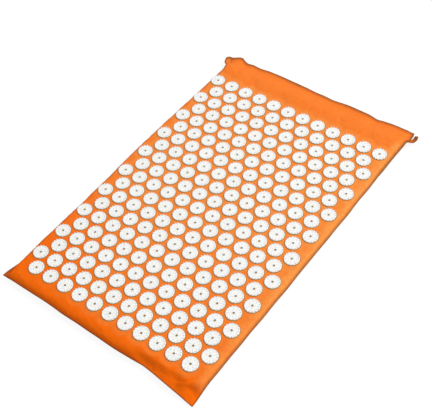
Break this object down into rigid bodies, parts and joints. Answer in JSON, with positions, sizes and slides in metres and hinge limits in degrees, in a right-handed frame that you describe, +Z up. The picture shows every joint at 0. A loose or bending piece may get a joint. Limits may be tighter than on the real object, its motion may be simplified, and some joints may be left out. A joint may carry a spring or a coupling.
{
  "type": "acupressure mat",
  "caption": "Flat foam cushion in a sewn cloth cover, its top set with staggered rows of round spiked plastic discs, with a plain cloth band and two small tabs at one end.",
  "frame": {"origin": "on the floor, under the middle of the cushion: the bottom centre of its bounding box", "axes": "+Y along the cushion towards its plain end with the tabs, +X along a row of discs to the right seen from the near end, +Z up"},
  "size_m": [0.431, 0.6546, 0.0242],
  "materials": {
    "cover_cloth": "matte",
    "cover_cloth_underside": "matte",
    "foam": "matte",
    "hook_tape": "matte",
    "loop_tape": "matte",
    "disc_plastic": "satin"
  },
  "bodies": {
    "root": {"cover_top_panel": "cover_cloth", "cover_bottom_panel": "cover_cloth_underside", "foam_pad": "foam", "closing_hook_tape": "hook_tape", "closing_loop_tape": "loop_tape", "corner_tab_left": "cover_cloth", "corner_tab_right": "cover_cloth", "disc_row_01": "disc_plastic", "disc_row_02": "disc_plastic", "disc_row_03": "disc_plastic", "disc_row_04": "disc_plastic", "disc_row_05": "disc_plastic", "disc_row_06": "disc_plastic", "disc_row_07": "disc_plastic", "disc_row_08": "disc_plastic", "disc_row_09": "disc_plastic", "disc_row_10": "disc_plastic", "disc_row_11": "disc_plastic", "disc_row_12": "disc_plastic", "disc_row_13": "disc_plastic", "disc_row_14": "disc_plastic", "disc_row_15": "disc_plastic", "disc_row_16": "disc_plastic", "disc_row_17": "disc_plastic", "disc_row_18": "disc_plastic", "disc_row_19": "disc_plastic", "disc_row_20": "disc_plastic"}
  },
  "joints": []
}
